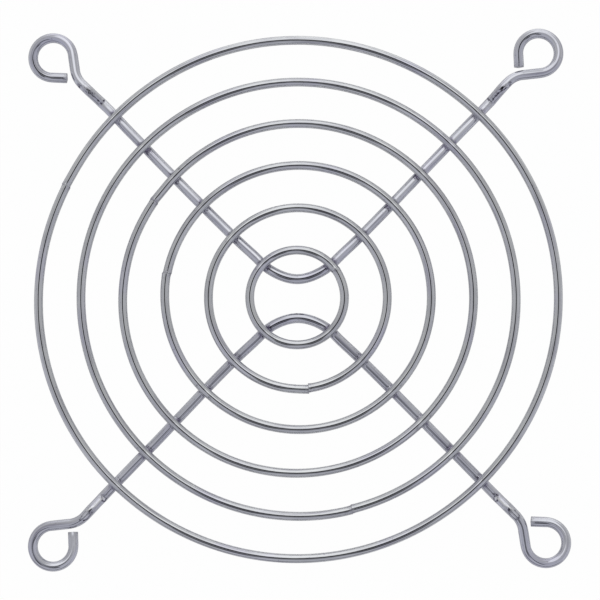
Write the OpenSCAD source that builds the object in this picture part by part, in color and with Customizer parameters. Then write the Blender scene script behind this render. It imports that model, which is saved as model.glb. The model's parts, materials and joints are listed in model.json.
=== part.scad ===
// Wire fan guard for a 92 mm axial fan: six butt-welded rings carried on two bent
// spoke wires, whose ends are formed into the four screw eyes.
// Millimetres, +Z up. The guard lies on its spokes, with the rings above them and the
// eyes stepped up beside the rings. The origin is on the rings' axis, at the ground.

/* [Fixing] */
// Spacing of the four screws, the same along X and Y
hole_spacing = 82.5; // [78:0.5:105]
// Clear diameter inside a screw eye
eye_bore = 5.1; // [4:0.1:6]

/* [Rings] */
// Diameter of the ring wire
ring_wire = 1.5; // [1:0.05:2]
// Centre-line radius of the innermost ring
centre_ring_r = 8.0; // [6.5:0.25:9]
// Distance from a screw's centre in to the outer ring's centre line
ring_inset = 14.6; // [13.5:0.1:17]
// Depth that each ring is pressed into the spokes by its welds
weld_depth = 0.3; // [0.1:0.05:0.5]

/* [Spokes] */
// Diameter of the spoke wire
spoke_wire = 1.7; // [1.4:0.05:2.2]
// Loss of the wire's diameter where it draws down round a bend
draw_down = 0.03; // [0.02:0.01:0.06]
// Angle of the straight legs from the X axis
leg_angle = 45.8; // [44.5:0.1:47]
// Centre-line radius of the bow in the middle of a spoke
bow_r = 9.1; // [8:0.1:10.5]
// Distance from the guard's centre to the bow's centre line
bow_offset = 3.3; // [2.5:0.1:4.5]

/* [Step up to the eyes] */
// Height that the eyes stand above the legs
eye_rise = 1.5; // [0.8:0.1:2]
// Slope of the step
step_slope = 30; // [25:1:40]
// Centre-line radius of the step's two bends
step_bend_r = 2.0; // [1.5:0.1:2.5]
// Share of the free leg between the rings and the neck that comes before the step
step_place = 0.65; // [0.3:0.05:0.8]

/* [Screw eyes] */
// Centre-line radius of the neck's bend, where the wire turns out to pass the screw
neck_bend_r = 4.2; // [3.5:0.1:4.8]
// Angle of the neck's bend on the leg at -X
left_neck_turn = 36; // [33:1:42]
// Angle of the neck's bend on the leg at +X
right_neck_turn = 40; // [35:1:44]
// Angle that the wire wraps round the screw on the leg at -X
left_loop_turn = 259; // [250:1:266]
// Angle that the wire wraps round the screw on the leg at +X
right_loop_turn = 266; // [255:1:268]
// Clearance between the cut end of the wire and the neck
end_gap = 0.5; // [0.3:0.05:0.8]

/* [Ring seams] */
// Places of the butt welds round the rings, from the centre ring out
seam_angles = [36, -83.6, 169, 145.6, -76.1, 153.7];
// Radial steps from the wire's first end to its last at those welds, outward if positive
seam_steps = [0.05, 0.2, -0.1, 0.1, 0.1, 0.1];

/* [Hidden] */
$fn = 96;

RING_COLOUR = [0.76, 0.75, 0.79];
SPOKE_COLOUR = [0.72, 0.72, 0.75];

// Angle by which a bend's ends run into the straights beside it
BEND_LAP = 1;

// Rings
eye_distance = hole_spacing / 2 * sqrt(2);
outer_ring_r = eye_distance - ring_inset;
ring_pitch = (outer_ring_r - centre_ring_r) / (len(seam_angles) - 1);
ring_z = spoke_wire + ring_wire / 2 - weld_depth;

// Spokes: the lines of the two legs cross at a corner, which the bow rounds off
corner_y = bow_offset + bow_r - bow_r / cos(leg_angle);
corner_to_leg = bow_r * tan(leg_angle);
rings_edge = outer_ring_r + ring_wire / 2 - corner_y * sin(leg_angle);

// Step up to the eyes
ramp = (eye_rise - 2 * step_bend_r * (1 - cos(step_slope))) / sin(step_slope);
step_run = 2 * step_bend_r * sin(step_slope) + ramp * cos(step_slope);

// Centre-line radius of the loops
loop_r = (eye_bore + spoke_wire) / 2;

// A bend to the left round the origin, from the -Y side
module bend(radius, turn) {
    rotate_extrude(angle = turn + 2 * BEND_LAP, start = -90 - BEND_LAP)
        translate([radius, 0]) circle(d = spoke_wire - draw_down);
}

// One wire along +X, bent by a list of moves that each carry on from the end of the last.
// A move is [length] for a straight, or [radius, turn, lean] for a bend, whose lean gives
// the side that it turns to: 0 left, 90 up, 180 right and -90 down.
module bent_wire(moves, i = 0) {
    if (i < len(moves) && len(moves[i]) == 1) {
        length = moves[i][0];
        rotate([0, 90, 0]) cylinder(d = spoke_wire, h = length);
        translate([length, 0, 0]) bent_wire(moves, i + 1);
    } else if (i < len(moves)) {
        radius = moves[i][0];
        turn = moves[i][1];
        lean = moves[i][2];
        rotate([lean, 0, 0]) translate([0, radius, 0]) {
            bend(radius, turn);
            rotate([0, 0, turn]) translate([0, -radius, 0]) rotate([-lean, 0, 0])
                bent_wire(moves, i + 1);
        }
    }
}

// A leg from the end of the bow to the cut end of its eye. side is 1 for the leg at +X and
// -1 for the one at -X. Both loops wrap to the left, so the legs aren't mirror images.
module leg(side, neck_turn, loop_turn) {
    along = [side * cos(leg_angle), sin(leg_angle)];
    left = [-along[1], along[0]];
    eye_from_corner = [side * hole_spacing / 2, hole_spacing / 2 - corner_y];
    eye_left = eye_from_corner * left;
    neck = (loop_r * cos(neck_turn) - neck_bend_r * (1 - cos(neck_turn)) - eye_left)
        / sin(neck_turn);
    neck_start = eye_from_corner * along - (loop_r + neck_bend_r) * sin(neck_turn)
        - neck * cos(neck_turn);
    free_leg = neck_start - rings_edge - step_run;
    stub = (loop_r * (1 - cos(loop_turn)) - spoke_wire / 2 * (1 + abs(cos(loop_turn)))
        - end_gap) / -sin(loop_turn);
    translate([0, corner_y, spoke_wire / 2])
        rotate([0, 0, 90 - side * (90 - leg_angle)])
            translate([corner_to_leg, 0, 0])
                bent_wire([
                    [rings_edge - corner_to_leg + free_leg * step_place],
                    [step_bend_r, step_slope, 90],
                    [ramp],
                    [step_bend_r, step_slope, -90],
                    [free_leg * (1 - step_place)],
                    [neck_bend_r, neck_turn, 180],
                    [neck],
                    [loop_r, loop_turn, 0],
                    [stub]
                ]);
}

// A bow between two legs, lying on the ground
module spoke() {
    translate([0, bow_offset + bow_r, spoke_wire / 2])
        rotate([0, 0, -leg_angle]) bend(bow_r, 2 * leg_angle);
    leg(1, right_neck_turn, right_loop_turn);
    leg(-1, left_neck_turn, left_loop_turn);
}

module upper_spoke() color(SPOKE_COLOUR) spoke();

module lower_spoke() color(SPOKE_COLOUR) rotate([0, 0, 180]) spoke();

// A hoop of wire closed by a butt weld. Its second half is a little larger or smaller and is
// moved to meet the first half flush at the back, which leaves the step at the weld.
module hoop(radius, seam_angle, seam_step) {
    rotate([0, 0, seam_angle]) {
        rotate_extrude(angle = 180)
            translate([radius, 0]) circle(d = ring_wire);
        translate([seam_step / 2, 0, 0])
            rotate_extrude(angle = 180, start = 180)
                translate([radius + seam_step / 2, 0]) circle(d = ring_wire);
    }
}

// A ring in its place, with the seats that its welds press over the spokes
module guard_ring(i) {
    color(RING_COLOUR) difference() {
        translate([0, 0, ring_z])
            hoop(centre_ring_r + i * ring_pitch, seam_angles[i], seam_steps[i]);
        spoke();
        rotate([0, 0, 180]) spoke();
    }
}

module centre_ring() guard_ring(0);

module second_ring() guard_ring(1);

module third_ring() guard_ring(2);

module fourth_ring() guard_ring(3);

module fifth_ring() guard_ring(4);

module outer_ring() guard_ring(5);

centre_ring();
second_ring();
third_ring();
fourth_ring();
fifth_ring();
outer_ring();
upper_spoke();
lower_spoke();
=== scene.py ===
import json
import math

import bmesh
import bpy
from mathutils import Matrix, Vector, noise


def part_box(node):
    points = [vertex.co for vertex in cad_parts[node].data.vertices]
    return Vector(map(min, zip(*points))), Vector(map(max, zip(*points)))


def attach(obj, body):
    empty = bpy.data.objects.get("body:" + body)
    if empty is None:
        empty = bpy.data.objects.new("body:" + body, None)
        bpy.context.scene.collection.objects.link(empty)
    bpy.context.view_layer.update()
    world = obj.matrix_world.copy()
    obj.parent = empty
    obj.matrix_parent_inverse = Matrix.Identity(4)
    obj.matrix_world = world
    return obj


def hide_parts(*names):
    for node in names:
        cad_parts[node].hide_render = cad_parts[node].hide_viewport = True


# Wire fan guard: six rings welded over two bent spokes, all of bright plated wire.
# The sizes below are the part's own, in metres; the eyes' places come from its record.

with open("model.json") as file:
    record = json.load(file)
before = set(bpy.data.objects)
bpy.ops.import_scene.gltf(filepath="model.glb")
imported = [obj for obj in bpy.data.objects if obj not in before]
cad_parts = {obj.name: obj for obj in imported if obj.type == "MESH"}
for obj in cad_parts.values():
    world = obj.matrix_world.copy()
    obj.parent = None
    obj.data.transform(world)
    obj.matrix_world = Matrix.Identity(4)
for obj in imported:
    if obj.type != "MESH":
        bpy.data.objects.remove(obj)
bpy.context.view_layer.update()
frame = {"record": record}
mm = 0.001
hundredth = 0.01 * mm

# A pair of numbers for a fade is where it begins and where it is full. Heights and places
# across a wire are shares of its radius.

wireSizes = {
    "sides": 32,  # faces round a wire
    "coarse": 1.2 * mm,  # spacing of the sections on plain runs
    "fine": 0.15 * mm,  # and at welds, seams and tool marks
    "bendStep": 0.3 * mm,
    "lastStep": 1.3,  # longest last step of a move, in steps
    "edgeTurns": (30, 60, 90),  # degrees round the edge of a cut end
    "ripple": 0.006,  # how far a drawn wire is from round
    "rippleAlong": 9 * mm,
    "rippleAround": 0.8,
    "rippleShift": 7.3,  # from one wire's ripple to the next one's
    "weldReach": 1.9 * mm,  # length of wire that a weld changes
    "fillet": 0.42 * mm,  # width of the metal squeezed out at a weld
    "filletFade": (-0.35, -0.04),  # depths inside the other wire, as shares of that width
    "filletSearch": 12,  # halvings
    "crossingSearch": 40,
    "crossingSpan": (20, 70),  # degrees into each quarter
}

ringSizes = {
    "names": ["centre_ring", "second_ring", "third_ring", "fourth_ring", "fifth_ring", "outer_ring"],
    "wire": 1.5 * mm,
    "innermost": 8.0 * mm,  # centre-line radius
    "inset": 14.6 * mm,  # from a screw's centre in to the outermost ring
    "sink": 0.3 * mm,  # depth of a weld
    "seams": [36, -83.6, 169, 145.6, -76.1, 153.7],  # degrees round to each butt weld
    "steps": [0.05 * mm, 0.2 * mm, -0.1 * mm, 0.1 * mm, 0.1 * mm, 0.1 * mm],
    "straightEnd": 3.0 * mm,  # length before a seam that springs out to the step
    # out of roundness at even turns from each seam and back to it, in hundredths of a millimetre
    "outOfRound": [
        [-10, -2, 6, 11, 11, 8, 4, 1, -4, -7, -10, -12, -14],
        [19, 5, -5, -6, 1, 7, 6, 0, -6, -9, -4, 9, 26],
        [22, 1, -15, -21, -15, -3, 7, 12, 17, 22, 23, 21, 17, 10, 6, 7, 11],
        [-17, -1, 13, 20, 19, 14, 6, 0, -1, 4, 11, 15, 14, 14, 15, 16, 9, -7, -25],
        [-1, 6, 13, 18, 16, 9, 2, 1, 5, 10, 11, 9, 8, 6, 1, -7, -12, -9, -1, 7, 13],
        [-16, -4, 6, 9, 8, 3, 0, -2, -6, -12, -18, -18, -10, 2, 9, 7, 1, -3, 0, 8, 15, 16, 8,
         -3, -15],
    ],
    "sectionsPerRadius": 24,  # least number
    "seamReach": 1.2 * mm,  # length of fine sections beside a seam
    "edge": 0.045 * mm,  # rounding of the butted ends
    "upset": 0.045,  # swelling of the wire at its butt weld
    "upsetReach": 0.3 * mm,
    "press": (0.03, 0.075),  # least and most flattening under a welding electrode
    "pressSeed": (3.7, 2.9, 0.5),
    "pressReach": 0.75 * mm,
    "pressHeights": (0.2, 1),
}

ringMarks = {  # strength of each mark and its reach along the wire
    "heat": (1.0, 1.1 * mm),
    "heatAbove": 0.35,  # share of the heat that shows on top
    "heatHeights": (0.5, -0.6),
    "seamHeat": (0.55, 0.7 * mm),
    "rub": (0.5, 0.8 * mm),
    "rubHeights": (0.4, 0.9),
    "seamRub": (0.7, 1.6 * mm),
    "seamLine": (0.5, 0.10 * mm),
    "seamLineAcross": (-0.6, 0.1),
    "facetReflection": (0.55, 0.5 * mm),  # painted dark reflection of a small facet that the electrodes leave beside each weld
    "electrodeFacetFromWeld": 1.5 * mm,
    "electrodeFacetAcross": (-0.45, 0.3),  # middle and width
    "markHeights": (-0.2, 0.3),
}

spokeSizes = {
    "wire": 1.7 * mm,
    "legAngle": math.radians(45.8),
    "bow": 9.1 * mm,
    "bowOffset": 3.3 * mm,
    "rise": 1.5 * mm,
    "slope": math.radians(30),
    "stepBend": 2.0 * mm,
    "stepPlace": 0.65,
    "neckBend": 4.2 * mm,
    "neckTurn": {1: math.radians(40), -1: math.radians(36)},  # on the +X leg and the -X leg
    "loopTurn": {1: math.radians(266), -1: math.radians(259)},
    "endGap": 0.5 * mm,
    "droop": 0.15,  # outward fall of the legs, in shading alone
    "rippleSeed": 11,
    "stepReach": 1.0 * mm,  # past the outermost ring, where the sections turn fine again
    "ringReach": 3 * mm,  # and where no fillet is looked for
    "cutEdge": 0.07 * mm,
    "cutReach": 1.0 * mm,
    "cutFade": 0.25 * mm,
    "cutSlant": 0.06,  # lean of the sheared ends
    "cutPress": 0.05,  # flattening of their upper side
    "burr": 0.06 * mm,
    "burrDepths": (0.75, 1.0),
    # changes of width and height in each bend, and how far they run over its ends
    "section": {
        "loop": (-0.03, 0.008), "neckBend": (-0.03, 0.008),
        "lowKnee": (0.02, -0.045), "highKnee": (0.02, -0.045),
    },
    "sectionFade": 0.5 * mm,
    "bite": (0.075 * mm, 0.33 * mm),  # of the die's nose, inside the low knee
    "biteHeights": (0.1, 0.8),
    "flat": {"upper_spoke": 0.9},  # height of the die's flat on the high knee
    "flatFade": (0.12, 1.1 * mm),  # its rise away from there
    # how far each bent wire strays to its left, every 4 mm, in hundredths of a millimetre
    "strayStep": 4 * mm,
    "stray": {
        "upper_spoke": [18, 7, 3, -2, -3, -4, -2, 1, 10, 28, 17, -7, 19, 26, 7, 1, -2, 0, 1, 0, 1,
                        -2, -5],
        "lower_spoke": [19, 16, 14, 12, 11, 12, 13, 16, 25, 40, 28, 8, 21, 27, 5, -5, -8, -5, -3,
                        0, -3, -4, -6],
    },
    "strayEnds": (44 * mm, 50 * mm),  # from the middle, where the eyes' own stray takes over
    "eyeStray": {  # of the first and the last eye along each wire
        "upper_spoke": ((-0.09 * mm, 0.01 * mm, 0), (-0.14 * mm, -0.10 * mm, 0)),
        "lower_spoke": ((-0.23 * mm, -0.04 * mm, 0), (0.05 * mm, -0.09 * mm, 0)),
    },
}

spokeMarks = {
    "heat": (1.0, 0.75 * mm),
    "kneeRub": (1.0, 1.6 * mm),
    "turnRub": 0.25,
    "turnFade": 1.0 * mm,
    "endRub": (1.0, 0.8 * mm),
    "markHeights": (-0.1, 0.3),
    # soot inside each ring, from its weld, with painted shade for the ring's contact shadow and dark
    # reflection
    "weldSootAndShade": (0.42, 0.5),  # mean and spread
    "weldBlotchSeed": (1.7, 2.3, 0.4),
    "weldBlotchPlace": (1.0 * mm, 0.5 * mm),
    "weldBlotchAcross": (1.1, 0.5),
    # the steps, by distance outward from the low knee and by place across, -1 in front to 1 behind
    "ramp": ((0.3 * mm, 0.8 * mm), (4.2 * mm, 3.4 * mm)),
    "nickAcross": (1.0, 0.5),
    # on the upper spoke a dark nick at the low knee, painted dark reflections along the ramp, a dark
    # spot beyond the high knee and a painted highlight on the leg before the knee
    "upper_spoke": {
        "nicks": [(0.95, 0.30 * mm)],
        "darkReflectionStripes": [(0.9, -0.62, 0.15), (0.72, -0.18, 0.10)],
        "highlightStripes": [],
        "darkSpots": [(1.0, 4.6 * mm, 0.42 * mm, -0.65, 0.40)],
        "highlightSpots": [(0.6, -1.05 * mm, 0.32 * mm, 0.0, 0.45)],
        "dieFacetReflections": [],
    },
    # on the lower spoke a painted highlight along the ramp, and painted reflections of two die
    # facets at the low knee and beyond the high knee, light inside a dark rim
    "lower_spoke": {
        "nicks": [],
        "darkReflectionStripes": [],
        "highlightStripes": [(0.9, 0.40, 0.18)],
        "darkSpots": [],
        "highlightSpots": [],
        "dieFacetReflections": [
            {"place": (0.2 * mm, -0.05), "size": (0.60 * mm, 0.62), "rim": (1.0, 0.28),
             "paleAndHighlight": 0.9, "highlightFade": (0.75, 0.45)},
            {"place": (4.3 * mm, -0.10), "size": (1.10 * mm, 0.66), "rim": (0.85, 0.16),
             "paleAndHighlight": 0.55, "highlightFade": (0.85, 0.5)},
        ],
        # a dark dash on the bow
        "dashMiddle": 0.25 * mm,
        "dashFade": (1.5 * mm, 1.1 * mm),
        "dashAcross": (0.80, 0.12),
    },
}

mounts = {m["name"]: m for m in frame["record"]["mounts"]}
eyePlace = Vector(mounts["eye_upper_right"]["pos_m"])
eyeBore = 2 * mounts["eye_upper_right"]["dims"]["r_mm"] * mm
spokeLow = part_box("upper_spoke")[0]
spokeLevel = spokeLow.z + spokeSizes["wire"] / 2
ringLevel = spokeLow.z + spokeSizes["wire"] + ringSizes["wire"] / 2 - ringSizes["sink"]
outermost = eyePlace.to_2d().length - ringSizes["inset"]
ringPitch = (outermost - ringSizes["innermost"]) / (len(ringSizes["names"]) - 1)
ringRadii = [ringSizes["innermost"] + i * ringPitch for i in range(len(ringSizes["names"]))]
cornerY = spokeSizes["bowOffset"] + spokeSizes["bow"] * (1 - 1 / math.cos(spokeSizes["legAngle"]))
cornerToLeg = spokeSizes["bow"] * math.tan(spokeSizes["legAngle"])
bowCentre = spokeSizes["bowOffset"] + spokeSizes["bow"]
halfBow = spokeSizes["bow"] * spokeSizes["legAngle"]
legWay = Vector((math.cos(spokeSizes["legAngle"]), math.sin(spokeSizes["legAngle"])))


def smooth(low, high, value):
    share = min(1.0, max(0.0, (value - low) / (high - low)))
    return share * share * (3 - 2 * share)


def bell(distance, width):
    return math.exp(-((distance / width) ** 2))


def reached(mark, distance):
    strength, reach = mark
    return strength * bell(distance, reach)


def curveAt(heights, place):  # a smooth curve through even points
    k = min(max(int(place), 0), len(heights) - 2)
    t = min(max(place - k, 0.0), 1.0)
    before, after = heights[max(k - 1, 0)], heights[min(k + 2, len(heights) - 1)]
    here, ahead = heights[k], heights[k + 1]
    cubic = 3 * here - before - 3 * ahead + after
    square = 2 * before - 5 * here + 4 * ahead - after
    return here + 0.5 * t * (ahead - before + t * (square + t * cubic))


# How far a point is from the skin of a ring or of the nearer spoke, negative inside


def ringOffset(i, turn):  # a hand-closed ring is a little out of round, with a step at its seam
    heights = ringSizes["outOfRound"][i]
    share = min(max(turn / (2 * math.pi), 0.0), 1.0)
    tail = max(0.0, 1 - (1 - share) * 2 * math.pi * ringRadii[i] / ringSizes["straightEnd"]) ** 2
    spring = ringSizes["steps"][i] - (heights[-1] - heights[0]) * hundredth
    return curveAt(heights, share * (len(heights) - 1)) * hundredth + spring * tail


def turnFromSeam(i, p):
    return (math.atan2(p.y, p.x) - math.radians(ringSizes["seams"][i])) % (2 * math.pi)


def ringGap(i, p):
    radius = ringRadii[i] + ringOffset(i, turnFromSeam(i, p))
    return math.hypot(math.hypot(p.x, p.y) - radius, p.z - ringLevel) - ringSizes["wire"] / 2


def nearestRing(p):
    reach = math.hypot(p.x, p.y)
    return min(range(len(ringRadii)), key=lambda i: abs(reach - ringRadii[i]))


def stray(name, fromMiddle):
    heights = spokeSizes["stray"][name]
    place = fromMiddle / spokeSizes["strayStep"] + (len(heights) - 1) / 2
    return curveAt(heights, place) * hundredth


def spokeAside(p):  # from the nearer spoke's centre line, positive to the side its bow opens to
    name, facing = ("upper_spoke", 1) if p.y > 0 else ("lower_spoke", -1)
    x, y = p.x * facing, p.y * facing
    fromCorner = Vector((abs(x), y - cornerY))
    reach = fromCorner.dot(legWay)
    if reach > cornerToLeg:
        aside = legWay.x * fromCorner.y - legWay.y * fromCorner.x
        run = halfBow + reach - cornerToLeg
    else:
        aside = spokeSizes["bow"] - math.hypot(x, y - bowCentre)
        run = spokeSizes["bow"] * math.atan2(abs(x), bowCentre - y)
    return aside - stray(name, math.copysign(run, x))


def spokeGap(p):
    return math.hypot(spokeAside(p), p.z - spokeLevel) - spokeSizes["wire"] / 2


def filletRise(p, outward, gap):  # how far the weld's fillet stands off the wire at p
    width = wireSizes["fillet"]
    hidden, full = (share * width for share in wireSizes["filletFade"])
    here = gap(p)
    if here > width or here < hidden:
        return 0.0
    low, high = 0.0, width
    for _ in range(wireSizes["filletSearch"]):
        middle = (low + high) / 2
        other = gap(p + outward * middle)
        melt = max(0.0, width - abs(middle - other)) ** 2 / (4 * width)
        if min(middle, other) - melt < 0:
            low = middle
        else:
            high = middle
    return low * smooth(hidden, full, here)


def ringCrossings(i):  # angles at which a ring lies over the spokes, quarter by quarter
    found = []
    for quarter in range(4):
        low, high = (math.radians(90 * quarter + angle) for angle in wireSizes["crossingSpan"])
        rising = 1 if quarter % 2 == 0 else -1
        for _ in range(wireSizes["crossingSearch"]):
            middle = (low + high) / 2
            p = Vector((ringRadii[i] * math.cos(middle), ringRadii[i] * math.sin(middle), 0))
            low, high = (middle, high) if spokeAside(p) * rising < 0 else (low, middle)
        found.append(low)
    return found


crossings = [ringCrossings(i) for i in range(len(ringRadii))]
print("crossings at", [round(math.degrees(c[0]), 1) for c in crossings], "degrees")


def bendWay(radius, turn, lean):  # from a bend's start to a turn along it; lean 0 is to the left
    middle = Vector((0, radius * math.cos(lean), radius * math.sin(lean)))
    axis = Vector((0, -math.sin(lean), math.cos(lean)))
    return Matrix.Translation(middle) @ Matrix.Rotation(turn, 4, axis) @ Matrix.Translation(-middle)


def straightWay(length):
    return Matrix.Translation((length, 0, 0))


def outwardAt(heading, left, up):  # the direction from the wire's middle to a point of its skin
    return (heading.to_3x3() @ Vector((0, left, up))).normalized()


class WireRun:  # a wire that grows from its first end, one rim at a time
    def __init__(self, start, diameter):
        self.radius = diameter / 2
        self.mesh = bmesh.new()
        layers = self.mesh.verts.layers
        self.place = layers.float_vector.new("wirePlace")  # along, to the left and up
        self.marked = layers.float_vector.new("wireMarks")  # weld heat, tool rub, cut end
        self.stainedAndLit = layers.float_vector.new("wireStainsAndLight")  # soot with painted shade, painted highlights, fall of the leg
        self.station = layers.int.new("station")
        self.heading, self.along = start.copy(), 0.0
        self.frames, self.alongs, self.moves = [], [], []
        first = bmesh.ops.create_circle(
            self.mesh, segments=wireSizes["sides"], radius=self.radius,
            matrix=start @ Matrix.Rotation(math.radians(90), 4, "Y"))["verts"]
        self.rim = self.firstRim = self.mesh.edges[:]
        home = start.inverted()
        for v in first:
            v[self.place] = home @ v.co
        self.settle(first)

    def settle(self, verts):
        for v in verts:
            v[self.place] = (self.along, v[self.place].y, v[self.place].z)
            v[self.station] = len(self.frames)
        self.frames.append(self.heading.copy())
        self.alongs.append(self.along)

    def extrudeRim(self, rim):
        grown = bmesh.ops.extrude_edge_only(self.mesh, edges=rim)["geom"]
        fresh = [g for g in grown if isinstance(g, bmesh.types.BMVert)]
        return fresh, [g for g in grown if isinstance(g, bmesh.types.BMEdge)]

    def follow(self, name, length, headingAt, coarse, busy):
        start, begun, done = self.heading.copy(), self.along, 0.0
        while done < length:
            ahead = (start @ headingAt(done + coarse / 2)).translation
            step = wireSizes["fine"] if busy(ahead) else coarse
            done = length if done + wireSizes["lastStep"] * step > length else done + step
            fresh, self.rim = self.extrudeRim(self.rim)
            heading = start @ headingAt(done)
            bmesh.ops.transform(self.mesh, matrix=heading @ self.heading.inverted(), verts=fresh)
            self.heading, self.along = heading, begun + done
            self.settle(fresh)
        self.moves.append((name, begun, self.along))

    def straight(self, name, length, busy):
        self.follow(name, length, straightWay, wireSizes["coarse"], busy)

    def bend(self, name, radius, turn, lean, busy, coarse):
        self.follow(name, radius * turn, lambda x: bendWay(radius, x / radius, lean), coarse, busy)

    def closeEnd(self, rim, outward, rounding):  # a flat cut with a rounded edge
        before = 1.0
        for degrees in wireSizes["edgeTurns"]:
            angle = math.radians(degrees)
            share = 1 - rounding * (1 - math.cos(angle)) / self.radius
            fresh, rim = self.extrudeRim(rim)
            for v in fresh:
                _, left, up = v[self.place]
                base = self.alongs[v[self.station]]
                v[self.place] = (base + outward * rounding * math.sin(angle),
                                 left * share / before, up * share / before)
            before = share
        bmesh.ops.edgeloop_fill(self.mesh, edges=rim)

    def closeEnds(self, rounding):
        self.closeEnd(self.firstRim, -1, rounding)
        self.closeEnd(self.rim, 1, rounding)

    def dress(self, skin):  # moves the skin within each section, and marks it
        for v in self.mesh.verts:
            along, left, up = v[self.place]
            heading = self.frames[v[self.station]]
            ahead = along - self.alongs[v[self.station]]
            v[self.marked] = skin.marks(along, left, up, heading)
            v[self.stainedAndLit] = skin.stainsAndLight(along, left, up, heading)
            v.co = heading @ skin.change(along, left, up, ahead, heading)

    def sortFaces(self):  # extruding leaves the edges and faces in no fixed order
        self.mesh.verts.index_update()
        count = len(self.mesh.verts)

        def order(element):
            places = [v.index for v in element.verts]
            return min(places) * count + max(places)

        self.mesh.edges.sort(key=order)
        self.mesh.faces.sort(key=order)

    def finish(self, name, material):
        bmesh.ops.recalc_face_normals(self.mesh, faces=self.mesh.faces)
        self.sortFaces()
        for face in self.mesh.faces:
            face.smooth = len(face.verts) == 4
        shape = bpy.data.meshes.new(name)
        self.mesh.to_mesh(shape)
        self.mesh.free()
        piece = bpy.data.objects.new(name, shape)
        bpy.context.scene.collection.objects.link(piece)
        shape.materials.append(material)
        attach(piece, "root")
        return piece


def ripple(along, left, up, radius, seed):  # drawn wire is never quite round
    around = Vector((left, up)).normalized() * wireSizes["rippleAround"]
    spot = Vector((along / wireSizes["rippleAlong"], around.x,
                   around.y + wireSizes["rippleShift"] * seed))
    return 1 + wireSizes["ripple"] * noise.noise(spot)


# Plated wire: materials


class Flow:  # a socket that is summed, scaled and joined in plain expressions
    def __init__(self, board, socket):
        self.board, self.socket = board, socket

    def __add__(self, other):
        return self.board.maths("ADD", self, other)

    def __sub__(self, other):
        return self.board.maths("SUBTRACT", self, other)

    def __mul__(self, other):
        return self.board.maths("MULTIPLY", self, other)

    def __truediv__(self, other):
        return self.board.maths("DIVIDE", self, other)

    def __rsub__(self, other):
        return self.board.maths("SUBTRACT", other, self)

    __radd__, __rmul__ = __add__, __mul__


class NodeBoard:
    def __init__(self, tree):
        self.tree = tree
        tree.nodes.clear()

    def add(self, kind, settings, sockets, out=0):
        node = self.tree.nodes.new(kind)
        for key, value in settings.items():
            setattr(node, key, value)
        for key, value in sockets.items():
            if isinstance(value, Flow):
                self.tree.links.new(value.socket, node.inputs[key])
            else:
                node.inputs[key].default_value = value
        return Flow(self, node.outputs[out]) if len(node.outputs) else node

    def maths(self, operation, first, second):
        return self.add("ShaderNodeMath", {"operation": operation}, {0: first, 1: second})

    def parts(self, vector):
        split = self.add("ShaderNodeSeparateXYZ", {}, {0: vector}).socket.node
        return [Flow(self, socket) for socket in split.outputs]

    def attribute(self, name):
        return self.add("ShaderNodeAttribute", {"attribute_name": name}, {}, out=1)

    def noise(self, vector, scale, detail, roughness=0.5):
        stretched = self.add("ShaderNodeVectorMath", {"operation": "MULTIPLY"},
                             {0: vector, 1: scale})
        return self.add("ShaderNodeTexNoise", {}, {
            "Vector": stretched, "Scale": 1.0, "Detail": detail, "Roughness": roughness})

    def eased(self, value, low, high):
        return self.add("ShaderNodeMapRange", {"interpolation_type": "SMOOTHSTEP"}, {
            "Value": value, "From Min": low, "From Max": high, "To Min": 0.0, "To Max": 1.0})

    def blended(self, share, first, second):
        return self.add("ShaderNodeMix", {"data_type": "RGBA"},
                        {0: share, 6: first, 7: second}, out=2)


# the soot colour also paints shade and dark reflections, and the shine colour paints highlights as
# well as pale die lines
plateSettings = {
    "ring": {
        "bright": (0.735, 0.745, 0.750, 1), "dull": (0.622, 0.628, 0.652, 1),
        "cast": (0.660, 0.650, 0.765, 1),
        "heat": (0.290, 0.268, 0.355, 1), "worn": (0.560, 0.562, 0.600, 1),
        "sootAndShade": (0.090, 0.080, 0.115, 1), "paleAndHighlight": (0.930, 0.930, 0.945, 1),
        "gloss": 0.035, "blotch": 0.06, "drawLines": 0.88, "streaks": 0.55,
    },
    "spoke": {
        "bright": (0.715, 0.722, 0.768, 1), "dull": (0.618, 0.624, 0.672, 1),
        "cast": (0.670, 0.660, 0.780, 1),
        "heat": (0.270, 0.248, 0.335, 1), "worn": (0.620, 0.622, 0.650, 1),
        "sootAndShade": (0.065, 0.055, 0.095, 1), "paleAndHighlight": (0.930, 0.930, 0.945, 1),
        "gloss": 0.045, "blotch": 0.07, "drawLines": 1.04, "streaks": 0.50,
    },
}

grains = {  # noise per metre along, across and up the wire, then its detail and roughness
    "lines": ((90, 4200, 4200), 3),
    "fineLines": ((400, 16000, 16000), 2),
    "blotch": ((330, 900, 900), 4, 0.6),
    "grain": ((9000, 9000, 9000), 3),
    "specks": ((2600, 3400, 3400), 1),
    "scuffs": ((2200, 2600, 2600), 4, 0.65),
    "patches": ((110, 260, 260), 3),
}

coat = {
    "mean": 0.5,  # of every noise
    "fades": {
        "blotch": (0.38, 0.68), "specks": (0.69, 0.75), "scuffs": (0.45, 0.6),
        "patches": (0.50, 0.66), "darkLines": (0.54, 0.70), "paleLines": (0.46, 0.32),
        "worn": (0.25, 1.1), "singed": (0.3, 1.2), "sootAndShade": (0.1, 0.9), "paleAndHighlight": (0.1, 0.8),
    },
    "evenRub": 0.45,  # share of a mark that its texture leaves even
    "evenHeat": 0.55,
    "heatByBlotch": 0.9,
    "evenDark": 0.5,
    "shares": {"patches": 0.55, "blotch": 0.7, "paleLines": 0.5, "worn": 0.8, "specks": 0.5},
    "rough": {"worn": 0.22, "singed": 0.12, "cut": 0.22, "specks": 0.06},
    "relief": 0.0022 * mm,
    "heights": {"fineLines": 0.12, "grain": 0.05, "cutGrain": 0.25, "scuffs": 0.9},
}


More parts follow.
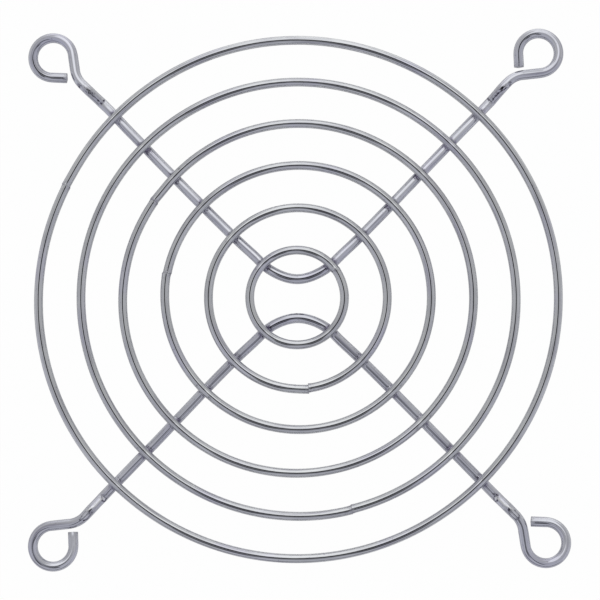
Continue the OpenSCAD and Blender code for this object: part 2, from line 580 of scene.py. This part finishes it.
def platedWire(name, plate):
    material = bpy.data.materials.new(name)
    material.use_nodes = True
    board = NodeBoard(material.node_tree)
    place = board.attribute("wirePlace")
    heat, rub, cut = board.parts(board.attribute("wireMarks"))
    sootAndShade, paleAndHighlight, fall = board.parts(board.attribute("wireStainsAndLight"))
    shares, rough, heights = coat["shares"], coat["rough"], coat["heights"]

    def grained(kind):
        return board.noise(place, *grains[kind])

    def faded(value, kind):
        return board.eased(value, *coat["fades"][kind])

    # die lines run along the wire, the rest has little direction or none
    lines, fineLines, grain = grained("lines"), grained("fineLines"), grained("grain")
    blotch, specks, scuffs, patches = (
        faded(grained(kind), kind) for kind in ("blotch", "specks", "scuffs", "patches"))
    worn = faded(rub * (coat["evenRub"] + scuffs), "worn")
    singed = faded(heat * (coat["evenHeat"] + coat["heatByBlotch"] * blotch), "singed")
    layers = [
        (patches * shares["patches"], "cast"),
        (blotch * shares["blotch"], "dull"),
        (faded(lines, "darkLines") * plate["streaks"], "heat"),
        (faded(lines, "paleLines") * shares["paleLines"], "paleAndHighlight"),
        (worn * shares["worn"], "worn"),
        (singed, "heat"),
        (specks * shares["specks"], "heat"),
        # soot with painted shade and dark reflections, then painted highlights, from the wire's
        # marks
        (faded(sootAndShade * (coat["evenDark"] + scuffs), "sootAndShade"), "sootAndShade"),
        (faded(paleAndHighlight, "paleAndHighlight"), "paleAndHighlight"),
    ]
    colour = plate["bright"]
    for share, layer in layers:
        colour = board.blended(share, colour, plate[layer])

    roughness = plate["gloss"] + plate["blotch"] * blotch + rough["worn"] * worn
    roughness = roughness + rough["singed"] * singed + rough["cut"] * cut + rough["specks"] * specks
    mean = coat["mean"]
    height = (lines - mean) * plate["drawLines"] + (fineLines - mean) * heights["fineLines"]
    height = height + (grain - mean) * (heights["grain"] + heights["cutGrain"] * cut)
    height = height + (scuffs - mean) * rub * heights["scuffs"] + fall * (1 / coat["relief"])
    normal = board.add("ShaderNodeBump", {}, {
        "Strength": 1.0, "Distance": coat["relief"], "Height": height})
    shader = board.add("ShaderNodeBsdfPrincipled", {}, {
        "Base Color": colour, "Metallic": 1.0, "Roughness": roughness, "Normal": normal})
    board.add("ShaderNodeOutputMaterial", {}, {"Surface": shader})
    return material


ringPlate = platedWire("ringPlate", plateSettings["ring"])
spokePlate = platedWire("spokePlate", plateSettings["spoke"])
print("materials ready")


# Rings


class RingSkin:  # how a ring's skin differs from a plain hoop, and where it is marked
    def __init__(self, i):
        self.i, self.hoop, self.radius = i, ringRadii[i], ringSizes["wire"] / 2
        self.seam = math.radians(ringSizes["seams"][i])
        self.whole = 2 * math.pi * self.hoop
        self.welds = [((angle - self.seam) % (2 * math.pi)) * self.hoop for angle in crossings[i]]
        least, most = ringSizes["press"]
        ringSeed, weldSeed, seed = ringSizes["pressSeed"]
        draws = [noise.noise(Vector((i * ringSeed, k * weldSeed, seed)))
                 for k in range(len(self.welds))]
        self.presses = [least + (most - least) * (draw + 0.5) for draw in draws]

    def toWeld(self, along):
        return min(abs(along - weld) for weld in self.welds)

    def toSeam(self, along):
        return min(along, self.whole - along)

    def busy(self, p):
        along = turnFromSeam(self.i, p) * self.hoop
        nearWeld = self.toWeld(along) < wireSizes["weldReach"]
        return nearWeld or self.toSeam(along) < ringSizes["seamReach"]

    def change(self, along, left, up, ahead, heading):
        upset = ringSizes["upset"] * bell(self.toSeam(along), ringSizes["upsetReach"])
        size = ripple(along, left, up, self.radius, self.i) + upset
        out = ringOffset(self.i, min(max(along / self.hoop, 0), 2 * math.pi))
        for weld, press in zip(self.welds, self.presses):
            onTop = smooth(*ringSizes["pressHeights"], up / self.radius)
            up *= 1 - bell(along - weld, ringSizes["pressReach"]) * press * onTop
        skin = Vector((ahead, left * size, up * size))
        aside = Vector((0, -out, 0))
        if self.toWeld(along) < wireSizes["weldReach"]:
            rise = filletRise(heading @ (skin + aside), outwardAt(heading, left, up), spokeGap)
            skin += Vector((0, left, up)).normalized() * rise
        return skin + aside

    def marks(self, along, left, up, heading):
        height = up / self.radius
        above = ringMarks["heatAbove"]
        shown = above + (1 - above) * smooth(*ringMarks["heatHeights"], height)
        heat = max(reached(ringMarks["heat"], self.toWeld(along)) * shown,
                   reached(ringMarks["seamHeat"], self.toSeam(along)))
        onTop = smooth(*ringMarks["rubHeights"], height)
        rub = max(reached(ringMarks["rub"], self.toWeld(along)) * onTop,
                  reached(ringMarks["seamRub"], self.toSeam(along)))
        return heat, rub, 0.0

    def stainsAndLight(self, along, left, up, heading):
        across = left / self.radius
        # a dark line at the seam, and painted dark reflections of the electrode facets beside the
        # welds
        line = reached(ringMarks["seamLine"], self.toSeam(along))
        line *= smooth(*ringMarks["seamLineAcross"], across)
        middle, width = ringMarks["electrodeFacetAcross"]
        start, most = ringMarks["electrodeFacetFromWeld"], ringSizes["press"][1]
        facetReflection = max(press / most * reached(ringMarks["facetReflection"], abs(along - weld) - start)
                    for weld, press in zip(self.welds, self.presses)) * bell(across - middle, width)
        return max(line, facetReflection) * smooth(*ringMarks["markHeights"], up / self.radius), 0.0, 0.0


def makeRing(i):
    skin = RingSkin(i)
    rounding = ringSizes["edge"]
    cutTurn = rounding / skin.hoop
    start = (Matrix.Rotation(skin.seam + cutTurn, 4, "Z")
             @ Matrix.Translation((skin.hoop, 0, ringLevel)) @ Matrix.Rotation(math.pi / 2, 4, "Z"))
    run = WireRun(start, ringSizes["wire"])
    run.bend("hoop", skin.hoop, 2 * math.pi - 2 * cutTurn, 0, skin.busy,
             min(wireSizes["coarse"], skin.hoop / ringSizes["sectionsPerRadius"]))
    run.closeEnds(rounding)
    run.dress(skin)
    piece = run.finish(ringSizes["names"][i] + "Wire", ringPlate)
    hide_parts(ringSizes["names"][i])


for i in range(len(ringRadii)):
    makeRing(i)
print("rings made")


# Spokes


def legMoves(side):  # the leg's moves from the end of the bow to the cut end of its eye
    wire, stepBend, slope = spokeSizes["wire"], spokeSizes["stepBend"], spokeSizes["slope"]
    angle = spokeSizes["legAngle"]
    along = Vector((side * math.cos(angle), math.sin(angle)))
    toEye = Vector((side * eyePlace.x, eyePlace.y - cornerY))
    eyeLeft = along.x * toEye.y - along.y * toEye.x
    loop, neckBend = (eyeBore + wire) / 2, spokeSizes["neckBend"]
    neckTurn, loopTurn = spokeSizes["neckTurn"][side], spokeSizes["loopTurn"][side]
    neck = ((loop * math.cos(neckTurn) - neckBend * (1 - math.cos(neckTurn)) - eyeLeft)
            / math.sin(neckTurn))
    neckStart = (toEye.dot(along) - (loop + neckBend) * math.sin(neckTurn)
                 - neck * math.cos(neckTurn))
    ringsEdge = outermost + ringSizes["wire"] / 2 - cornerY * math.sin(angle)
    ramp = (spokeSizes["rise"] - 2 * stepBend * (1 - math.cos(slope))) / math.sin(slope)
    stepRun = 2 * stepBend * math.sin(slope) + ramp * math.cos(slope)
    freeLeg = neckStart - ringsEdge - stepRun
    stub = ((loop * (1 - math.cos(loopTurn)) - wire / 2 * (1 + abs(math.cos(loopTurn)))
             - spokeSizes["endGap"]) / -math.sin(loopTurn))
    up, down, right, left = math.radians(90), math.radians(-90), math.pi, 0.0
    return [
        ("leg", ringsEdge - cornerToLeg + freeLeg * spokeSizes["stepPlace"]),
        ("lowKnee", stepBend, slope, up),
        ("ramp", ramp),
        ("highKnee", stepBend, slope, down),
        ("collar", freeLeg * (1 - spokeSizes["stepPlace"])),
        ("neckBend", neckBend, neckTurn, right),
        ("neck", neck),
        ("loop", loop, loopTurn, left),
        ("stub", stub),
    ]


def backward(moves):  # the same moves run from their far end, where left and right change places
    return [(name, *sizes[:-1], math.pi - sizes[-1]) if len(sizes) == 3 else (name, *sizes)
            for name, *sizes in reversed(moves)]


def wireStart(facing):  # the first cut end, found by running the left leg out and facing about
    heading = (Matrix.Rotation(facing, 4, "Z") @ Matrix.Translation((0, cornerY, spokeLevel))
               @ Matrix.Rotation(math.pi - spokeSizes["legAngle"], 4, "Z")
               @ straightWay(cornerToLeg))
    for _, *sizes in legMoves(-1):
        heading = heading @ (bendWay(*sizes) if len(sizes) == 3 else straightWay(*sizes))
    return heading @ Matrix.Rotation(math.pi, 4, "Z")


def nearRing(p):
    reach = math.hypot(p.x, p.y)
    return min(abs(reach - radius) for radius in ringRadii) < wireSizes["weldReach"]


def nearStep(p):
    return math.hypot(p.x, p.y) > outermost + spokeSizes["stepReach"] or nearRing(p)


class SpokeSkin:  # how a spoke's skin differs from a plain bent wire, and where it is marked
    def __init__(self, name, facing, run):
        self.name, self.seed = name, spokeSizes["rippleSeed"] + facing
        self.radius, self.whole = run.radius, run.along
        self.bends = [move for move in run.moves if move[0] in spokeSizes["section"]]
        self.middle = sum((a + b) / 2 for kind, a, b in run.moves if kind == "bow")
        self.stepAt = {a > self.middle: (a + b) / 2 for kind, a, b in run.moves
                       if kind == "lowKnee"}
        self.stepMarks = spokeMarks[name]

    def toEnd(self, along):
        return min(along, self.whole - along)

    def strayed(self, along, heading):  # the whole section's move, in its own directions
        fromMiddle = along - self.middle
        eye = spokeSizes["eyeStray"][self.name][0 if fromMiddle < 0 else 1]
        atEye = smooth(*spokeSizes["strayEnds"], abs(fromMiddle))
        aside = Vector((0, stray(self.name, fromMiddle), 0)) * (1 - atEye)
        return aside + heading.to_3x3().inverted() @ Vector(eye) * atEye

    def bent(self, along, left, up):  # the section as the bending dies leave it
        fade = spokeSizes["sectionFade"]
        for kind, begun, ended in self.bends:
            inside = smooth(begun - fade, begun + fade, along)
            inside *= smooth(ended + fade, ended - fade, along)
            if inside <= 0:
                continue
            wider, higher = spokeSizes["section"][kind]
            left, up = left * (1 + wider * inside), up * (1 + higher * inside)
            fromMiddle = along - (begun + ended) / 2
            if kind == "lowKnee":
                onTop = smooth(*spokeSizes["biteHeights"], up / self.radius)
                up -= reached(spokeSizes["bite"], fromMiddle) * onTop
            if kind == "highKnee" and self.name in spokeSizes["flat"]:
                rise, reach = spokeSizes["flatFade"]
                flat = spokeSizes["flat"][self.name] + (1 - bell(fromMiddle, reach)) * rise
                up = min(up, flat * self.radius)
        return left, up

    def change(self, along, left, up, ahead, heading):
        size = ripple(along, left, up, self.radius, self.seed)
        left, up = self.bent(along, left, up)
        skin = Vector((ahead, left * size, up * size))
        toEnd = self.toEnd(along)
        if toEnd < spokeSizes["cutReach"]:  # a sheared end leans and has a burr on its far side
            sign = -1 if along < self.whole / 2 else 1
            near = bell(toEnd, spokeSizes["cutFade"])
            burr = spokeSizes["burr"] * smooth(*spokeSizes["burrDepths"], -up / self.radius)
            skin.x += sign * near * (spokeSizes["cutSlant"] * up + burr)
            skin.z *= 1 - spokeSizes["cutPress"] * near * smooth(0, 1, up / self.radius)
        moved = self.strayed(along, heading)
        p = heading @ (skin + moved)
        if nearRing(p) and p.to_2d().length < outermost + spokeSizes["ringReach"]:
            ring = nearestRing(p)
            rise = filletRise(p, outwardAt(heading, left, up), lambda q: ringGap(ring, q))
            skin += Vector((0, left, up)).normalized() * rise
        return skin + moved

    def marks(self, along, left, up, heading):
        p = heading @ (Vector((0, left, up)) + self.strayed(along, heading))
        heat = reached(spokeMarks["heat"], max(0.0, ringGap(nearestRing(p), p)))
        rub = reached(spokeMarks["endRub"], self.toEnd(along))
        fade = spokeMarks["turnFade"]
        for kind, begun, ended in self.bends:
            if "Knee" in kind:
                rub = max(rub, reached(spokeMarks["kneeRub"], along - (begun + ended) / 2))
            else:
                inside = smooth(begun - fade, begun, along) * smooth(ended + fade, ended, along)
                rub = max(rub, spokeMarks["turnRub"] * inside)
        return heat, rub, 1.0 if self.toEnd(along) <= 0 else 0.0

    # weld soot with painted shade: the ring's contact shadow and dark reflection on the spoke
    def weldSootAndShade(self, along, left, up, heading, back):
        p = heading @ (Vector((0, left, up)) + self.strayed(along, heading))
        ring = nearestRing(p)
        inside = ringRadii[ring] - math.hypot(p.x, p.y)
        quarter = math.floor(math.degrees(math.atan2(p.y, p.x)) / 90)
        ringSeed, quarterSeed, seed = spokeMarks["weldBlotchSeed"]
        mean, spread = spokeMarks["weldSootAndShade"]
        draw = noise.noise(Vector((ringSeed * ring, quarterSeed * quarter, seed)))
        at, reach = spokeMarks["weldBlotchPlace"]
        across = smooth(*spokeMarks["weldBlotchAcross"], abs(back))
        return (mean + spread * draw) * bell(inside - at, reach) * across

    def striped(self, kind, back):
        return sum(strength * bell(back - at, width)
                   for strength, at, width in self.stepMarks[kind])

    def spotted(self, kind, toStep, back):
        return max([0.0] + [strength * bell(toStep - at, reach) * bell(back - middle, width)
                            for strength, at, reach, middle, width in self.stepMarks[kind]])

    def dashed(self, along, outward):
        if "dashFade" not in self.stepMarks:
            return 0.0
        fromDash = abs(along - self.middle - self.stepMarks["dashMiddle"])
        middle, width = self.stepMarks["dashAcross"]
        return smooth(*self.stepMarks["dashFade"], fromDash) * bell(outward.y - middle, width)

    def stainsAndLight(self, along, left, up, heading):
        first = along < self.middle
        toStep = (self.stepAt[not first] - along) * (1 if first else -1)
        outward = outwardAt(heading, left, up)
        back = outward.y * math.sqrt(2)
        onTop = smooth(*spokeMarks["markHeights"], outward.z)
        low, high = spokeMarks["ramp"]
        ramp = smooth(*low, toStep) * smooth(*high, toStep)
        # dark marks: weld soot with painted shade, the nick, dark spots and painted dark
        # reflections; light marks: painted highlights
        sootAndShade = max(ramp * self.striped("darkReflectionStripes", back),
                   self.spotted("darkSpots", toStep, back),
                   self.weldSootAndShade(along, left, up, heading, back), self.dashed(along, outward))
        paleAndHighlight = max(ramp * self.striped("highlightStripes", back),
                    self.spotted("highlightSpots", toStep, back))
        for nick in self.stepMarks["nicks"]:
            sootAndShade = max(sootAndShade, reached(nick, toStep) * smooth(*spokeMarks["nickAcross"], abs(back)))
        # each die facet is painted as its reflection: a painted highlight inside and painted shade
        # at its rim
        for facetReflection in self.stepMarks["dieFacetReflections"]:
            (at, middle), (length, width) = facetReflection["place"], facetReflection["size"]
            reach = math.hypot((toStep - at) / length, (back - middle) / width)
            sootAndShade = max(sootAndShade, reached(facetReflection["rim"], reach - 1))
            paleAndHighlight = max(paleAndHighlight, facetReflection["paleAndHighlight"] * smooth(*facetReflection["highlightFade"], reach))
        fall = -spokeSizes["droop"] * max(0.0, abs(along - self.middle) - halfBow)
        return sootAndShade * onTop, paleAndHighlight * onTop, fall


def makeSpoke(name, facing):
    rounding = spokeSizes["cutEdge"]
    run = WireRun(wireStart(facing) @ straightWay(rounding), spokeSizes["wire"])
    bow = ("bow", spokeSizes["bow"], 2 * spokeSizes["legAngle"], 0.0)
    for move in [*backward(legMoves(-1)), bow, *legMoves(1)]:
        if len(move) == 4:
            run.bend(*move, nearRing, wireSizes["bendStep"])
        else:
            length = move[1] - (rounding if move[0] == "stub" else 0)
            run.straight(move[0], length, nearStep if move[0] != "leg" else nearRing)
    run.closeEnds(rounding)
    run.dress(SpokeSkin(name, facing, run))
    piece = run.finish(name + "Wire", spokePlate)
    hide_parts(name)


makeSpoke("upper_spoke", 0.0)
makeSpoke("lower_spoke", math.pi)
print("spokes made")


# Studio: a glossy white table in a tent of light, with one big window overhead


studio = {
    "floorSize": 1.6,
    "floorCells": 8,
    "floorColour": (0.72, 0.72, 0.73, 1),
    "floorGloss": 0.2,
    "lowRays": (0.05, 0.50),  # how far a ray grazes the table for its gloss to show
    "sheen": 0.9,  # share of such a reflected ray that the gloss sends on
    "steepWhite": 0.14,  # plain white that a steep reflected ray sees in the table
    "whiteTo": {"Is Camera Ray": 0.985, "Is Glossy Ray": 0.12, "Is Transmission Ray": 0.6},
    "tent": 0.50,  # brightness
    "skirt": 0.10,  # more at the tent's foot
    "backSkirt": 0.50,  # and behind
    "window": 0.53,
    "front": 0.20,  # dimness at the camera's stand
    "gap": 0.42,  # dimness between the tent and the table, in front
    "lens": 0.98,  # darkness of the lens and its hood
    "lensPlace": (0.0, 0.01),
    "lensReach": (0.21, 0.18),
    "legs": 0.80,  # darkness of two legs of the stand
    "legsTo": (0.39, -0.921),
    "backTint": (0.975, 0.983, 1.003, 1),
    "frontTint": (0.945, 0.958, 1.063, 1),
    "ceiling": 0.08,  # least height at which a direction meets the ceiling
}

# by direction, or by place on a ceiling one unit up for the window and the front; distances
# across are squared
skyFades = {
    "windowAcross": (0.36, 0.10), "windowNear": (0.24, 0.48), "windowFar": (3.4, 1.4),
    "skirt": (0.50, 0.05), "skirtBack": (0, 1), "skirtAcross": (0.45, 0.05),
    "frontAcross": (0.08, 0.02), "frontFar": (-0.80, -0.50), "frontNear": (0.0, -0.2),
    "gapFront": (-0.45, -0.80), "gapLow": (0.32, 0.08),
    "lensEdge": (1.15, 0.85), "lensAbove": (0.5, 0.8),
    "legsAcross": (0.0169, 0.0036), "legsNear": (0.22, 0.42), "legsFar": (0.80, 0.60),
    "horizon": (0.04, -0.01), "tint": (-0.35, 0.35),
}

cameraSettings = {
    "focalLength": 123.9,
    "sensorWidth": 36,
    "tilt": [math.radians(angle) for angle in (-4.26, -1.04, 0.42)],  # about X, Y and Z
    "place": (0.348 * mm, -0.244 * mm, 350 * mm),  # before the tilt
    "clip": (0.01, 10),
}


def whiteShare(board):  # how far each kind of ray takes the table and the backdrop for plain white
    rays = board.add("ShaderNodeLightPath", {}, {}).socket.node.outputs
    return sum(Flow(board, rays[name]) * share for name, share in studio["whiteTo"].items())


def makeFloor():
    shape = bmesh.new()
    bmesh.ops.create_grid(shape, x_segments=studio["floorCells"], y_segments=studio["floorCells"],
                          size=studio["floorSize"] / 2)
    mesh = bpy.data.meshes.new("floor")
    shape.to_mesh(mesh)
    shape.free()
    floor = bpy.data.objects.new("floor", mesh)
    bpy.context.scene.collection.objects.link(floor)
    material = bpy.data.materials.new("paleTable")
    material.use_nodes = True
    board = NodeBoard(material.node_tree)
    rays = board.add("ShaderNodeLightPath", {}, {}).socket.node.outputs
    glossy = Flow(board, rays["Is Glossy Ray"])
    facing = board.add("ShaderNodeLayerWeight", {}, {"Blend": 0.5}, out=1)
    low = board.eased(facing, *studio["lowRays"])
    matt = board.add("ShaderNodeBsdfDiffuse", {}, {"Color": studio["floorColour"]})
    gloss = board.add("ShaderNodeBsdfGlossy", {}, {
        "Color": (1, 1, 1, 1), "Roughness": studio["floorGloss"]})
    sheen = glossy * low * studio["sheen"]
    table = board.add("ShaderNodeMixShader", {}, {0: sheen, 1: matt, 2: gloss})
    white = board.add("ShaderNodeEmission", {}, {"Color": (1, 1, 1, 1), "Strength": 1.0})
    plain = whiteShare(board) + glossy * (1 - low) * studio["steepWhite"]
    mixed = board.add("ShaderNodeMixShader", {}, {0: plain, 1: table, 2: white})
    board.add("ShaderNodeOutputMaterial", {}, {"Surface": mixed})
    mesh.materials.append(material)


def makeSky():
    sky = bpy.data.worlds.new("tent")
    bpy.context.scene.world = sky
    sky.use_nodes = True
    board = NodeBoard(sky.node_tree)

    def edge(value, name):
        return board.eased(value, *skyFades[name])

    way = board.add("ShaderNodeTexCoord", {}, {})  # its first output is the direction looked in
    x, y, z = board.parts(way)
    over = board.maths("MAXIMUM", z, studio["ceiling"])
    across, back = x / over, y / over

    window = edge(across * across, "windowAcross") * edge(back, "windowNear")
    window = window * edge(back, "windowFar")
    behind = studio["backSkirt"] * edge(y, "skirtBack") * edge(x * x, "skirtAcross")
    skirt = edge(z, "skirt") * (studio["skirt"] + behind)
    front = edge(across * across, "frontAcross") * edge(back, "frontFar") * edge(back, "frontNear")
    gap = edge(y, "gapFront") * edge(z, "gapLow")
    level = studio["tent"] + skirt + studio["window"] * window
    level = level - studio["front"] * front - studio["gap"] * gap

    lensX, lensY = studio["lensPlace"]
    wide, deep = studio["lensReach"]
    fromLensX, fromLensY = x - lensX, y - lensY
    far = fromLensX * fromLensX * (1 / wide ** 2) + fromLensY * fromLensY * (1 / deep ** 2)
    lens = edge(far, "lensEdge") * edge(z, "lensAbove")

    legX, legY = studio["legsTo"]
    side = board.maths("ABSOLUTE", x, 0)
    aside, along = side * -legY + y * legX, side * legX + y * legY
    legs = edge(aside * aside, "legsAcross") * edge(along, "legsNear") * edge(along, "legsFar")

    level = level * (1 - studio["lens"] * lens) * (1 - studio["legs"] * legs)
    backdrop = edge(z, "horizon") * whiteShare(board)
    level = level * (1 - backdrop) + backdrop
    tint = board.blended(edge(y, "tint"), studio["frontTint"], studio["backTint"])
    light = board.add("ShaderNodeBackground", {}, {"Color": tint, "Strength": level})
    board.add("ShaderNodeOutputWorld", {}, {"Surface": light})


def makeCamera():
    turnX, turnY, turnZ = cameraSettings["tilt"]
    tilt = (Matrix.Rotation(turnX, 4, "X") @ Matrix.Rotation(turnY, 4, "Y")
            @ Matrix.Rotation(turnZ, 4, "Z"))
    lens = bpy.data.cameras.new("camera")
    lens.lens, lens.sensor_width = cameraSettings["focalLength"], cameraSettings["sensorWidth"]
    lens.clip_start, lens.clip_end = cameraSettings["clip"]
    camera = bpy.data.objects.new("camera", lens)
    bpy.context.scene.collection.objects.link(camera)
    camera.matrix_world = tilt.inverted() @ Matrix.Translation(cameraSettings["place"])
    bpy.context.scene.camera = camera


makeFloor()
makeSky()
makeCamera()
bpy.context.scene.view_settings.view_transform = "Standard"
print("studio ready")
